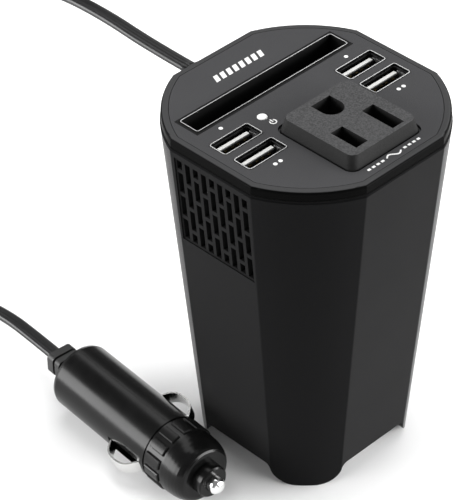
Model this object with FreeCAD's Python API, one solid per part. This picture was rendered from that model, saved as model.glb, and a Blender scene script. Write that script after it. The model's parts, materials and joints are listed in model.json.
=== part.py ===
import FreeCAD, Part
import math
import os

# Cup-holder power inverter with a 12 V lead. Millimetres, +Z up, the feet stand on z = 0 and
# the body's axis is the Z axis. -Y is the front (outlet side), +Y the back (lead side).

os.makedirs("parts", exist_ok=True)
V = FreeCAD.Vector

# ---- driving dimensions: body ----
TAPER = 0.088                # growth of every side per millimetre of height
FOOT_HALF_WIDTH = 26.3       # axis to flat at z = 0
FOOT_RADIUS = 29.2           # axis to rounded corner column at z = 0
WALL = 2.2
FLAT_BOTTOM = 6.75           # lower edge of the four flats; only the columns go lower
SHELL_TOP = 106.8
FACE_Z = 110.0               # top of the face plate
CAP_HALF_WIDTH = 35.4
CAP_RADIUS = 38.3
FACE_HALF_WIDTH = 33.3
FACE_RADIUS = 36.1
FACE_THICKNESS = 2.4
SEAM = 0.15                  # gap of a part set in another

# ---- driving dimensions: vents ----
VENT_COLUMNS = 9
VENT_PITCH = 2.98
VENT_WIDTH = 1.85
VENT_TOP = 104.2
VENT_SLOT = 6.7
VENT_SHORT_SLOT = 2.9
VENT_BAR = 1.3
VENT_POCKET = 0.4

# ---- driving dimensions: what sits in the face plate ----
OUTLET_PAD_Y = -15.6
OUTLET_BASE = (26.7, 27.2)
OUTLET_TOP = (24.4, 25.1)
OUTLET_CORNER = 2.4
OUTLET_RISE = 3.8
OUTLET_SINK = 0.9            # the pad stands this deep in a recess of the face plate
OUTLET_Y = -16.05
OUTLET_BODY = (21.6, 23.2)
OUTLET_BODY_BOTTOM = 98.0
BLADE_X = 6.35               # half of the standard 12.7 mm blade spacing
BLADE_Y = -21.4
BLADE_SLOT_WIDTH = 4.3
HOT_SLOT_LENGTH = 9.0
NEUTRAL_SLOT_LENGTH = 10.9
GROUND_RADIUS = 3.5
GROUND_Y = BLADE_Y + 12.4
USB_X = 23.5
USB_ROWS = {"rear": 2.4, "front": -6.5}
USB_SHELL = (13.1, 5.7, 0.4)
USB_LIP = (14.1, 6.3, 0.35)  # flared mouth of the shell
USB_LIP_DEPTH = 0.5
USB_HOLE = (14.3, 6.5)
USB_TONGUE = (11.1, 1.7)
USB_TONGUE_OFFSET = 1.2
PHONE_SLOT = (56.4, 6.2)
PHONE_SLOT_Y = 15.0
PHONE_SLOT_BOTTOM = 98.0
LINER_WALL = 1.2
LED_PLACE = (-11.8, 4.5)
LED_RADIUS = 1.45

# ---- driving dimensions: inside ----
BASE_PLATE_Z = 8.4
BASE_PLATE_THICKNESS = 2.0
FAN_SIZE = 35.0
FAN_DEPTH = 10.0
FAN_BORE = 16.6
FAN_HOLE_PITCH = 14.6
BOARD_THICKNESS = 1.6
MAIN_BOARD_Y = 3.0           # front face of the upright main board
MAIN_BOARD = (24.6, 26.0, 88.0)   # half width, lower edge, upper edge
PORT_BOARD_Z = 94.0

# ---- driving dimensions: lead and plug ----
CORD_WIDTH = 4.4
CORD_EXIT_Z = 100.6
CORD_EXIT_Y = 43.0
PLUG_REAR = V(-40.8, 51.0, 10.4)  # middle of the barrel's rear face
PLUG_YAW = -4.5                   # degrees, turns the nose a little towards -X
PLUG_ROLL = 18.0                  # degrees, the side contacts are this far from level
BARREL_RADIUS = 10.0
BARREL_BORE = 8.3
BARREL_LENGTH = 41.5
RING_END = 49.0
DOME_END = 56.8
SNOUT_END = 60.4
TIP_END = 63.6
WINDOW = (26.1, 40.5)             # openings for the side contacts
GRIPS = 14
RELIEF_LENGTH = 9.5
RELIEF_BLOCK = (8.6, 6.8)

# ---- driving dimensions: the lead's one spare loop on the ground ----
LOOP_CENTRE = V(-33.5, 150.0, 2.2)
LOOP_RADIUS = 25.0
LOOP_GROWTH = 4.7            # gained in each whole turn, so the turns lie side by side
LOOP_STEPS = 17              # of 30 degrees each
LOOP_LANDING = 0.9           # fall at each of the first three steps


def behind_plug(distance):
    """A point on the plug's axis, behind the barrel."""
    yaw = math.radians(PLUG_YAW)
    return PLUG_REAR + V(-math.sin(yaw), math.cos(yaw), 0) * distance


def loop_points():
    """The spare loop: a slowly widening circle, entered on its far side."""
    points = []
    for step in range(LOOP_STEPS + 1):
        angle = math.radians(90 + 30 * step)
        radius = LOOP_RADIUS + LOOP_GROWTH * step / 12
        lift = LOOP_LANDING * max(0, 3 - step)
        points.append(LOOP_CENTRE + V(radius * math.cos(angle), radius * math.sin(angle), lift))
    return points


# The lead's route from the body's strain relief, round the spare loop, to the plug's.
CORD_ROUTE = [
    V(0.0, CORD_EXIT_Y, CORD_EXIT_Z),
    V(0.0, 60.0, CORD_EXIT_Z),
    V(1.5, 80.0, CORD_EXIT_Z),
    V(2.6, 101.0, 98.6),
    V(2.8, 121.0, 92.8),
    V(2.0, 138.0, 82.2),
    V(0.2, 151.5, 67.2),
    V(-2.6, 161.5, 49.7),
    V(-6.8, 168.5, 32.6),
    V(-13.2, 172.5, 18.2),
    V(-22.5, 174.8, 9.0),
    *loop_points(),
    V(-41.3, 112.4, 3.5),
    V(-37.0, 99.1, 7.0),
    V(-38.2, 84.0, 10.1),
    behind_plug(RELIEF_LENGTH + 11.0),
    behind_plug(RELIEF_LENGTH),
]


# ---- small helpers ----

def box(x0, x1, y0, y1, z0, z1):
    return Part.makeBox(x1 - x0, y1 - y0, z1 - z0, V(x0, y0, z0))


def block(width, depth, z0, z1, x=0.0, y=0.0):
    """A box centred on x and y."""
    return box(x - width / 2, x + width / 2, y - depth / 2, y + depth / 2, z0, z1)


def rounded_block(width, depth, radius, z0, z1, x=0.0, y=0.0):
    """A centred box with its upright edges rounded."""
    solid = block(width, depth, z0, z1, x, y)
    upright = [e for e in solid.Edges if abs(e.tangentAt(e.FirstParameter).z) > 0.99]
    return solid.makeFillet(radius, upright)


def rod(radius, start, end):
    axis = end - start
    return Part.makeCylinder(radius, axis.Length, start, axis)


def pipe(outer, inner, start, end):
    return rod(outer, start, end).cut(rod(inner, start, end))


def joined(shapes):
    first, *rest = shapes
    return first.multiFuse(rest).removeSplitter() if rest else first


def group(shapes):
    return Part.makeCompound(shapes)


def mirrored_x(shape):
    return shape.mirror(V(0, 0, 0), V(1, 0, 0))


def quarter_turns(shape, count=4):
    """Copies of a shape spaced evenly round the body's axis."""
    turned = []
    for step in range(count):
        copy = shape.copy()
        copy.rotate(V(0, 0, 0), V(0, 0, 1), 360.0 * step / count)
        turned.append(copy)
    return turned


def half_width_at(z, inset=0.0):
    return FOOT_HALF_WIDTH + TAPER * z - inset


def radius_at(z, inset=0.0):
    return FOOT_RADIUS + TAPER * z - inset


def square_wire(half, z):
    corners = [V(-half, -half, z), V(half, -half, z), V(half, half, z), V(-half, half, z)]
    return Part.makePolygon(corners + corners[:1])


def tapered(inset, z0, z1):
    """The body's section between two heights: a cone with four flats, inset all round."""
    cone = Part.makeCone(radius_at(z0, inset), radius_at(z1, inset), z1 - z0, V(0, 0, z0))
    squares = [square_wire(half_width_at(z, inset), z) for z in (z0, z1)]
    return cone.common(Part.makeLoft(squares, True, True))


def straight(half, radius, z0, z1):
    """The same section without the taper."""
    cylinder = Part.makeCylinder(radius, z1 - z0, V(0, 0, z0))
    return cylinder.common(block(2 * half, 2 * half, z0, z1))


def blended(shape, radius, wanted):
    """Fillet the edges that a test picks."""
    return shape.makeFillet(radius, [e for e in shape.Edges if wanted(e)])


# ---- housing ----

def foot_gate():
    """The space under one pair of flats, as a bar along X: the columns' feet stay on each side."""
    def side(sign):
        return [
            V(0, sign * 10.4, FLAT_BOTTOM),
            V(0, sign * 12.0, 6.2),
            V(0, sign * 12.7, 4.9),
            V(0, sign * 14.4, 1.9),
            V(0, sign * 18.4, 0.0),
            V(0, sign * 18.4, -1.0),
        ]
    right = side(1)
    left = side(-1)
    edges = [
        Part.makeLine(left[0], right[0]),
        Part.Arc(right[0], right[1], right[2]).toShape(),
        Part.Arc(right[2], right[3], right[4]).toShape(),
        Part.makeLine(right[4], right[5]),
        Part.makeLine(right[5], left[5]),
        Part.makeLine(left[5], left[4]),
        Part.Arc(left[4], left[3], left[2]).toShape(),
        Part.Arc(left[2], left[1], left[0]).toShape(),
    ]
    reach = 2 * FOOT_RADIUS
    face = Part.Face(Part.Wire(edges))
    face.translate(V(-reach, 0, 0))
    return face.extrude(V(2 * reach, 0, 0))


def vent_slots():
    """Brick-pattern slots through the +X flat."""
    height = 3 * (VENT_SLOT + VENT_BAR) + VENT_SHORT_SLOT
    inside, outside = 28, 40
    slots = []
    for column in range(VENT_COLUMNS):
        y = (column - (VENT_COLUMNS - 1) / 2) * VENT_PITCH
        lengths = [VENT_SHORT_SLOT] + 3 * [VENT_SLOT]
        if column % 2:
            lengths.reverse()
        top = VENT_TOP
        for length in lengths:
            slots.append(box(inside, outside, y - VENT_WIDTH / 2, y + VENT_WIDTH / 2, top - length, top))
            top -= length + VENT_BAR
    margin = 0.7
    low = VENT_TOP - height - margin
    pocket = tapered(0, low, SHELL_TOP).cut(tapered(VENT_POCKET, low, SHELL_TOP))
    reach = VENT_COLUMNS * VENT_PITCH / 2
    pocket = pocket.common(box(inside, outside, -reach, reach, low, VENT_TOP + margin))
    return group(slots + [pocket])


def board_rails():
    """Upright ribs inside the side flats that hold the edges of the main board."""
    half_width, board_low, _ = MAIN_BOARD
    inner_edge = half_width - 1.2
    outer_edge = 40
    thickness, play = 1.0, 0.1
    rest_low, rail_top = board_low - 2, 74
    front_rail = MAIN_BOARD_Y - play - thickness
    back_rail = MAIN_BOARD_Y + BOARD_THICKNESS + play
    rails = [box(inner_edge, outer_edge, y, y + thickness, rest_low, rail_top)
             for y in (front_rail, back_rail)]
    rest = box(inner_edge, outer_edge, front_rail, back_rail + thickness, rest_low, board_low)
    one_side = joined(rails + [rest]).common(tapered(WALL / 2, 10, 100))
    return joined([one_side, mirrored_x(one_side)])


def base_bosses():
    """Screw pillars in the middle of each flat, above the base plate."""
    low = BASE_PLATE_Z + BASE_PLATE_THICKNESS + 0.05
    high = 22
    middle = base_screw_place().x
    pillar = pipe(3.0, 1.35, V(middle, 0, low), V(middle, 0, high))
    web = box(middle + 2.0, 40, -1.0, 1.0, low, high)
    return joined(quarter_turns(joined([pillar, web]))).common(tapered(WALL / 2, 5, 30))


def cord_hole():
    """Opening in the back wall for the strain relief."""
    tall, wide = 4.8, 7.6
    hole = rounded_block(wide, tall, tall / 2 - 0.01, 0, 20)
    hole.rotate(V(0, 0, 0), V(1, 0, 0), -90)
    hole.translate(V(0, 25, CORD_EXIT_Z))
    return hole


def outer_shell():
    outer = tapered(0, 0, SHELL_TOP)
    long_edges = lambda e: abs(e.tangentAt(e.FirstParameter).z) > 0.9
    outer = blended(outer, 0.8, long_edges)
    top_rim = lambda e: all(abs(v.Z - SHELL_TOP) < 0.01 for v in e.Vertexes)
    outer = outer.makeChamfer(0.35, [e for e in outer.Edges if top_rim(e)])
    shell = outer.cut(tapered(WALL, -1, SHELL_TOP + 1))
    gate = foot_gate()
    side_gate = gate.copy()
    side_gate.rotate(V(0, 0, 0), V(0, 0, 1), 90)
    slots = vent_slots()
    shell = shell.cut([gate, side_gate, slots, mirrored_x(slots), cord_hole()])
    return joined([shell, board_rails(), base_bosses()])


def top_cap():
    """Bezel ring over the shell, with a ledge for the face plate and a skirt inside the shell."""
    ring = straight(CAP_HALF_WIDTH, CAP_RADIUS, SHELL_TOP, FACE_Z)
    upper_edge = lambda e: all(abs(v.Z - FACE_Z) < 0.01 for v in e.Vertexes)
    ring = blended(ring, 0.8, upper_edge)
    lower_edge = lambda e: all(abs(v.Z - SHELL_TOP) < 0.01 for v in e.Vertexes)
    ring = ring.makeChamfer(0.7, [e for e in ring.Edges if lower_edge(e)])
    ring = ring.cut(straight(FACE_HALF_WIDTH + SEAM, FACE_RADIUS + SEAM,
                             FACE_Z - FACE_THICKNESS, FACE_Z + 1))
    ledge = 1.6
    skirt_low = SHELL_TOP - 2.2
    opening = straight(FACE_HALF_WIDTH - ledge, FACE_RADIUS - ledge, skirt_low - 1, FACE_Z)
    skirt = tapered(WALL + SEAM, skirt_low, SHELL_TOP)
    liner_room = block(PHONE_SLOT[0] + 2 * LINER_WALL + 0.4, PHONE_SLOT[1] + 2 * LINER_WALL + 0.4,
                       skirt_low - 1, FACE_Z - FACE_THICKNESS, 0, PHONE_SLOT_Y)
    return joined([ring.cut(opening), skirt.cut(opening)]).cut(liner_room)


def board_posts():
    return [(14.4, 7.0), (-14.4, 7.0), (15.8, -12.6), (-15.8, -12.6)]


def face_plate():
    low = FACE_Z - FACE_THICKNESS
    plate = straight(FACE_HALF_WIDTH, FACE_RADIUS, low, FACE_Z)
    around_liner = 2 * LINER_WALL + SEAM
    holes = [
        block(OUTLET_BODY[0] + SEAM, OUTLET_BODY[1] + SEAM, low - 1, FACE_Z + 1, 0, OUTLET_Y),
        block(PHONE_SLOT[0] + around_liner, PHONE_SLOT[1] + around_liner, low - 1, FACE_Z + 1,
              0, PHONE_SLOT_Y),
        rod(LED_RADIUS + 0.1, V(*LED_PLACE, low - 1), V(*LED_PLACE, FACE_Z + 1)),
        rounded_block(OUTLET_BASE[0] + 1.0, OUTLET_BASE[1] + 1.0, OUTLET_CORNER + 0.5,
                      FACE_Z - OUTLET_SINK, FACE_Z + 1, 0, OUTLET_PAD_Y),
    ]
    for x, y in usb_places().values():
        holes.append(rounded_block(*USB_HOLE, 1.0, low - 1, FACE_Z + 1, x, y))
    plate = plate.cut(holes)
    posts = [pipe(2.0, 0.85, V(x, y, PORT_BOARD_Z + BOARD_THICKNESS), V(x, y, low))
             for x, y in board_posts()]
    return joined([plate] + posts)


def phone_slot_liner():
    """Pocket that a phone or card stands in, with a thin rim round its mouth."""
    length, width = PHONE_SLOT
    lip_wall, lip_rise = 0.45, 0.25
    outer = block(length + 2 * LINER_WALL, width + 2 * LINER_WALL, PHONE_SLOT_BOTTOM,
                  FACE_Z, 0, PHONE_SLOT_Y)
    lip = block(length + 2 * lip_wall, width + 2 * lip_wall, FACE_Z - 1, FACE_Z + lip_rise,
                0, PHONE_SLOT_Y)
    mouth = block(length, width, PHONE_SLOT_BOTTOM + LINER_WALL, FACE_Z + 1, 0, PHONE_SLOT_Y)
    return joined([outer, lip]).cut(mouth)


def base_plate():
    """Closes the shell from below; its arc slots are the fan's intake."""
    top = BASE_PLATE_Z + BASE_PLATE_THICKNESS
    plate = tapered(WALL + SEAM, BASE_PLATE_Z, top)
    grille = []
    for middle in (6.0, 9.4, 12.8):
        ring = pipe(middle + 1.1, middle - 1.1, V(0, 0, BASE_PLATE_Z - 1), V(0, 0, top + 1))
        grille.append(ring)
    slots = joined(grille).cut(quarter_turns(box(0, 20, -1.1, 1.1, 0, 20)))
    holes = quarter_turns(rod(1.6, base_screw_place() + V(0, 0, -5), base_screw_place() + V(0, 0, 5)))
    holes += quarter_turns(rod(1.6, fan_screw_place() + V(0, 0, -5), fan_screw_place() + V(0, 0, 5)))
    return plate.cut([slots] + holes)


# ---- fan ----

def base_screw_place():
    return V(half_width_at(BASE_PLATE_Z, WALL) - 3.2, 0, BASE_PLATE_Z)


def fan_screw_place():
    return V(FAN_HOLE_PITCH, FAN_HOLE_PITCH, BASE_PLATE_Z)


def pan_screw(place, head_radius, shaft_radius, length):
    """A screw driven upwards at a place, with a cross recess in its head."""
    head = rod(head_radius, place + V(0, 0, -1.5), place + V(0, 0, -0.02))
    head = blended(head, 0.5, lambda e: abs(e.CenterOfMass.z - (place.z - 1.5)) < 0.01)
    arm = 0.6 * head_radius
    recess = [box(place.x - arm, place.x + arm, place.y - 0.35, place.y + 0.35, place.z - 2,
                  place.z - 0.8),
              box(place.x - 0.35, place.x + 0.35, place.y - arm, place.y + arm, place.z - 2,
                  place.z - 0.8)]
    shaft = rod(shaft_radius, place + V(0, 0, -0.1), place + V(0, 0, length))
    return joined([head, shaft]).cut(recess)


def base_screws():
    return group(quarter_turns(pan_screw(base_screw_place(), 2.7, 1.3, 9.0)))


def fan_screws():
    return group(quarter_turns(pan_screw(fan_screw_place(), 2.5, 1.4, 11.0)))


def fan_levels():
    low = BASE_PLATE_Z + BASE_PLATE_THICKNESS + 0.02
    return low, low + FAN_DEPTH


def fan_frame():
    low, high = fan_levels()
    frame = rounded_block(FAN_SIZE, FAN_SIZE, 2.5, low, high)
    frame = frame.cut([rod(FAN_BORE, V(0, 0, low - 1), V(0, 0, high + 1))]
                      + quarter_turns(rod(1.5, fan_screw_place(), fan_screw_place() + V(0, 0, 20))))
    spider_low = high - 1.6
    hub = pipe(7.0, 1.6, V(0, 0, spider_low), V(0, 0, high))
    strut = box(6.5, FAN_BORE + 0.8, -1.0, 1.0, spider_low, high)
    return joined([frame, hub] + quarter_turns(strut, 3))


def fan_bearing():
    _, high = fan_levels()
    return pipe(1.58, 1.05, V(0, 0, high - 3.0), V(0, 0, high))


def fan_shaft():
    low, high = fan_levels()
    return rod(1.0, V(0, 0, low + 2.0), V(0, 0, high - 0.3))


def fan_blade(low, high):
    """One blade: a slanted plate between the hub and the bore."""
    root, tip, half_thickness = 7.0, 15.9, 0.45
    lean = 34.0
    plate = box(root, tip, -half_thickness, half_thickness, -7, 7)
    plate.rotate(V(0, 0, 0), V(1, 0, 0), lean)
    plate.translate(V(0, 0, (low + high) / 2))
    sleeve = pipe(tip, root, V(0, 0, low), V(0, 0, high))
    return plate.common(sleeve)


def fan_rotor():
    low, high = fan_levels()
    hub_low, hub_high = low + 0.8, high - 3.3
    hub = rod(7.4, V(0, 0, hub_low), V(0, 0, hub_high))
    hub = blended(hub, 0.8, lambda e: abs(e.CenterOfMass.z - hub_low) < 0.01)
    hub = hub.cut(rod(1.0, V(0, 0, low + 2.0), V(0, 0, high)))
    blades = quarter_turns(fan_blade(hub_low, hub_high), 7)
    return joined([hub] + blades)


# ---- mains outlet ----

def ground_hole(low, high):
    """Round towards the blades and flat towards the back."""
    round_part = rod(GROUND_RADIUS, V(0, GROUND_Y, low), V(0, GROUND_Y, high))
    flat_part = block(2 * GROUND_RADIUS, 3.9, low, high, 0, GROUND_Y + 1.95)
    return joined([round_part, flat_part])


def blade_hole(side, length, low, high, grow=0.0):
    return block(BLADE_SLOT_WIDTH + grow, length + grow, low, high, side * BLADE_X, BLADE_Y)


def ac_outlet_housing():
    top = FACE_Z + OUTLET_RISE
    shapes = []
    for (width, depth), z in ((OUTLET_BASE, FACE_Z - OUTLET_SINK + 0.02), (OUTLET_TOP, top)):
        plan = rounded_block(width, depth, OUTLET_CORNER, z, z + 1, 0, OUTLET_PAD_Y)
        bottom_face = min(plan.Faces, key=lambda f: f.CenterOfMass.z)
        shapes.append(bottom_face.OuterWire)
    pad = Part.makeLoft(shapes, True, True)
    body = block(*OUTLET_BODY, OUTLET_BODY_BOTTOM, FACE_Z + 1, 0, OUTLET_Y)
    floor = OUTLET_BODY_BOTTOM - 1
    holes = [
        blade_hole(-1, HOT_SLOT_LENGTH, floor, top + 1),
        blade_hole(1, NEUTRAL_SLOT_LENGTH, floor, top + 1),
        ground_hole(floor, top + 1),
    ]
    return joined([pad, body]).cut(holes)


def ac_outlet_back():
    """Cover under the outlet that carries its three contacts."""
    high = OUTLET_BODY_BOTTOM - 0.02
    return rounded_block(*OUTLET_BODY, 1.0, high - 1.6, high, 0, OUTLET_Y).cut(
        [block(1.6, 4.2, high - 3, high + 1, side * BLADE_X, BLADE_Y) for side in (-1, 1)]
        + [rod(1.1, V(0, GROUND_Y, high - 3), V(0, GROUND_Y, high + 1))])


def blade_contact(side):
    """Two spring leaves joined at the bottom, with a solder tail through the cover."""
    low = OUTLET_BODY_BOTTOM
    high = 107.0
    x = side * BLADE_X
    leaves = [box(x + s * 1.4 - 0.25, x + s * 1.4 + 0.25, BLADE_Y - 2.6, BLADE_Y + 2.6, low, high)
              for s in (-1, 1)]
    foot = block(3.3, 5.2, low, low + 0.6, x, BLADE_Y)
    tail = block(1.2, 3.4, low - 3.2, low + 0.3, x, BLADE_Y)
    return joined(leaves + [foot, tail])


def hot_contact():
    return blade_contact(-1)


def neutral_contact():
    return blade_contact(1)


def ground_contact():
    """A split tube that grips the round pin."""
    low = OUTLET_BODY_BOTTOM
    sleeve = pipe(3.0, 2.45, V(0, GROUND_Y, low), V(0, GROUND_Y, 107.0))
    slit = block(1.0, 8.0, low + 1.5, 110, 0, GROUND_Y)
    floor = rod(3.0, V(0, GROUND_Y, low), V(0, GROUND_Y, low + 0.6))
    tail = rod(0.9, V(0, GROUND_Y, low - 3.2), V(0, GROUND_Y, low + 0.3))
    return joined([sleeve.cut(slit), floor, tail])


# ---- USB ports ----

def usb_places():
    return {f"{side}_{row}": (sign * USB_X, y)
            for side, sign in (("left", -1), ("right", 1)) for row, y in USB_ROWS.items()}


def usb_shell(x, y):
    """Folded metal shell, open at the top, where its edge flares out to a thin lip."""
    width, depth, sheet = USB_SHELL
    lip_width, lip_depth, lip_wall = USB_LIP
    low = PORT_BOARD_Z + BOARD_THICKNESS
    high = FACE_Z + 0.08
    step = high - USB_LIP_DEPTH
    outer = rounded_block(width, depth, 0.8, low, step, x, y)
    lip = rounded_block(lip_width, lip_depth, 0.9, step - sheet, high, x, y)
    inner = rounded_block(width - 2 * sheet, depth - 2 * sheet, 0.4, low - 1, high + 1, x, y)
    mouth = rounded_block(lip_width - 2 * lip_wall, lip_depth - 2 * lip_wall, 0.6, step, high + 1, x, y)
    shell = joined([outer, lip]).cut([inner, mouth])
    windows = [block(2.0, 20, low + 5, low + 7, x + s * 2.8, y) for s in (-1, 1)]
    return shell.cut(windows)


def usb_insert(x, y):
    """Plastic base and the tongue that carries the contacts."""
    width, depth, sheet = USB_SHELL
    low = PORT_BOARD_Z + BOARD_THICKNESS
    base = rounded_block(width - 2 * sheet - 0.1, depth - 2 * sheet - 0.1, 0.4, low, low + 3.0, x, y)
    tongue = block(*USB_TONGUE, low + 2, FACE_Z - 1.6, x, y + USB_TONGUE_OFFSET)
    return joined([base, tongue])


def usb_contact_pins():
    """Four flat contacts on the open side of each tongue."""
    low = PORT_BOARD_Z + BOARD_THICKNESS + 3.0
    pins = []
    for x, y in usb_places().values():
        front = y + USB_TONGUE_OFFSET - USB_TONGUE[1] / 2
        for offset in (-3.5, -1.0, 1.0, 3.5):
            pins.append(block(1.0, 0.2, low, FACE_Z - 2.2, x + offset, front - 0.1))
    return group(pins)


# ---- boards and what they carry ----

def led_lens():
    top = FACE_Z + 0.15
    lens = rod(LED_RADIUS, V(*LED_PLACE, PORT_BOARD_Z + BOARD_THICKNESS), V(*LED_PLACE, top))
    return blended(lens, 0.35, lambda e: abs(e.CenterOfMass.z - top) < 0.01)


def port_board():
    """Horizontal board under the face plate, cut away round the outlet and the phone slot."""
    low = PORT_BOARD_Z
    high = low + BOARD_THICKNESS
    board = tapered(WALL + 1.0, low, high).common(box(-40, 40, -15.2, 9.8, low, high))
    cut_out = box(-12.6, 12.6, -40, -3.4, low - 1, high + 1)
    holes = [rod(1.1, V(x, y, low - 1), V(x, y, high + 1)) for x, y in board_posts()]
    return board.cut([cut_out] + holes)


def port_board_screws():
    """Small screws from below into the face plate's posts."""
    return group([pan_screw(V(x, y, PORT_BOARD_Z), 1.9, 0.8, 6.0) for x, y in board_posts()])


def main_board():
    half, low, high = MAIN_BOARD
    return box(-half, half, MAIN_BOARD_Y, MAIN_BOARD_Y + BOARD_THICKNESS, low, high)


def board_connector():
    """Pin header that joins the upright board to the port board."""
    back = MAIN_BOARD_Y + BOARD_THICKNESS
    return box(3.5, 12.0, back, back + 3.0, 83.0, PORT_BOARD_Z)


def transformer_core():
    """Two E-shaped ferrite halves round the winding, seen as one frame with a middle leg."""
    frame = box(-15, 15, -17, -5, 46, 74)
    window_top, window_bottom = 69.5, 50.5
    windows = [box(-11, -4, -18, -4, window_bottom, window_top),
               box(4, 11, -18, -4, window_bottom, window_top)]
    return frame.cut(windows)


def transformer_winding():
    low, high = 50.7, 69.3
    coil = rounded_block(21.4, 19.4, 3.0, low, high, 0, -11)
    leg = box(-4.15, 4.15, -17.15, -4.85, low - 1, high + 1)
    limbs = [box(-16, -10.85, -17.15, -4.85, low - 1, high + 1),
             box(10.85, 16, -17.15, -4.85, low - 1, high + 1)]
    return coil.cut([leg] + limbs)


def transformer_bobbin():
    """Foot of the bobbin between the winding and the board."""
    return box(-13, 13, -1.25, MAIN_BOARD_Y - 0.02, 48, 72)


def lying_capacitor(x, z, radius, length):
    """A can on the board's front with its axis along Y."""
    front = MAIN_BOARD_Y - 0.02 - length
    can = rod(radius, V(x, MAIN_BOARD_Y - 0.02, z), V(x, front, z))
    can = blended(can, 0.7, lambda e: abs(e.CenterOfMass.y - front) < 0.01)
    score = [box(x - 0.6 * radius, x + 0.6 * radius, front - 1, front + 0.3, z - 0.3, z + 0.3),
             box(x - 0.3, x + 0.3, front - 1, front + 0.3, z - 0.6 * radius, z + 0.6 * radius)]
    return can.cut(score)


def bulk_capacitor():
    return lying_capacitor(-12.5, 36.0, 7.5, 21.0)


def input_capacitors():
    return group([lying_capacitor(x, 36.0, 5.0, 15.0) for x in (3.5, 15.0)])


def filter_choke():
    ring = Part.makeTorus(4.6, 2.2, V(-14, 0.7, 81.5), V(0, 1, 0))
    return ring


def control_chips():
    """Two flat packages on the front of the main board."""
    return group([box(x - 3.0, x + 3.0, MAIN_BOARD_Y - 1.7, MAIN_BOARD_Y - 0.02, 78, 86)
                  for x in (12.0, 20.0)])


def heat_sink():
    """Aluminium plate behind the board with upright fins towards the back."""
    low, high = 34.0, 80.0
    plate = box(-19, 19, 12.0, 14.5, low, high)
    fins = [box(x - 0.7, x + 0.7, 14.0, 19.5, low, high) for x in range(-15, 16, 5)]
    feet = [box(s * 17.5 - 1.5, s * 17.5 + 1.5, MAIN_BOARD_Y + BOARD_THICKNESS + 0.02, 12.5, low,
                low + 8) for s in (-1, 1)]
    return joined([plate] + fins + feet)


def power_transistors():
    """Four transistors clamped to the heat sink, each with three legs to the board."""
    parts = []
    back = 12.0 - 0.02
    for x in (-12.0, 12.0):
        for z in (51.0, 68.5):
            body = box(x - 5, x + 5, back - 4.4, back, z - 7.5, z + 7.5)
            legs = [box(x + step - 0.4, x + step + 0.4, MAIN_BOARD_Y + BOARD_THICKNESS + 0.02,
                        back - 4.2, z - 6.5, z - 5.7) for step in (-2.5, 0.0, 2.5)]
            parts.append(joined([body] + legs))
    return group(parts)


# ---- wires and the lead ----

def cord_path(points):
    """Straight runs joined by tangent arcs. Returns the wire and the arcs' radii."""
    runs = [b - a for a, b in zip(points, points[1:])]
    edges, radii = [], []
    start = points[0]
    for corner, before, after in zip(points[1:], runs, runs[1:]):
        turn = before.getAngle(after)
        trim = 0.45 * min(before.Length, after.Length)
        radius = trim / math.tan(turn / 2)
        into = V(before).normalize()
        away = V(after).normalize()
        arc_start = corner - into * trim
        arc_end = corner + away * trim
        inward = V(away - into).normalize()
        to_centre = math.hypot(radius, trim)
        arc_middle = corner + inward * (to_centre - radius)
        edges.append(Part.LineSegment(start, arc_start).toShape())
        edges.append(Part.Arc(arc_start, arc_middle, arc_end).toShape())
        radii.append(radius)
        start = arc_end
    edges.append(Part.LineSegment(start, points[-1]).toShape())
    return Part.Wire(edges), radii


def swept_tube(points, radius):
    path, radii = cord_path(points)
    section = Part.Wire([Part.makeCircle(radius, points[0], points[1] - points[0])])
    tube = path.makePipeShell([section], True, True)
    return tube, path.Length, radii


def input_wires():
    """The lead's two cores, from the strain relief down to the main board."""
    wires = []
    for x in (-1.2, 1.2):
        route = [V(x, 31.0, CORD_EXIT_Z), V(x, 26.0, CORD_EXIT_Z), V(x, 22.5, 95.5),
                 V(x, 19.0, 89.5), V(x, 12.0, 86.0), V(x, MAIN_BOARD_Y + BOARD_THICKNESS, 86.0)]
        wires.append(swept_tube(route, 0.9)[0])
    return group(wires)


def outlet_wires():
    """From the main board up to the tails of the outlet's two live contacts."""
    wires = []
    for x in (-BLADE_X, BLADE_X):
        route = [V(x, MAIN_BOARD_Y, 83.0), V(x, -5.0, 83.0), V(x, -15.0, 84.5),
                 V(x, BLADE_Y, 89.0), V(x, BLADE_Y, OUTLET_BODY_BOTTOM - 3.2)]
        wires.append(swept_tube(route, 0.8)[0])
    return group(wires)


def cord_strain_relief():
    """Grommet in the back wall: flanges inside and outside, and a short tapered tail."""
    def oval(width, height, y0, y1, end_scale=1.0):
        rings = []
        for y, scale in ((y0, 1.0), (y1, end_scale)):
            half_w = width * scale / 2
            half_h = height * scale / 2
            flat = half_w - half_h
            low = CORD_EXIT_Z - half_h
            high = CORD_EXIT_Z + half_h
            right = Part.Arc(V(flat, y, low), V(half_w, y, CORD_EXIT_Z), V(flat, y, high)).toShape()
            left = Part.Arc(V(-flat, y, high), V(-half_w, y, CORD_EXIT_Z), V(-flat, y, low)).toShape()
            top = Part.makeLine(V(flat, y, high), V(-flat, y, high))
            bottom = Part.makeLine(V(-flat, y, low), V(flat, y, low))
            rings.append(Part.Wire([right, top, left, bottom]))
        return Part.makeLoft(rings, True, True)
    inner_flange = oval(10.0, 7.0, 31.0, 32.45)
    neck = oval(7.4, 4.6, 32.0, 36.0)
    outer_flange = oval(9.6, 6.8, 35.6, 36.8)
    tail = oval(7.4, 5.0, 36.5, CORD_EXIT_Y, 0.78)
    return joined([inner_flange, neck, outer_flange, tail])


def power_cord():
    tube, length, radii = swept_tube(CORD_ROUTE, CORD_WIDTH / 2)
    section = math.pi * (CORD_WIDTH / 2) ** 2
    print(f"lead: {length:.1f} mm, volume ratio {tube.Volume / (section * length):.4f}")
    print("lead radii in diameters:", [round(r / CORD_WIDTH, 1) for r in radii])
    return tube


# ---- 12 V plug, drawn along -Y from the middle of the barrel's rear face ----

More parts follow.
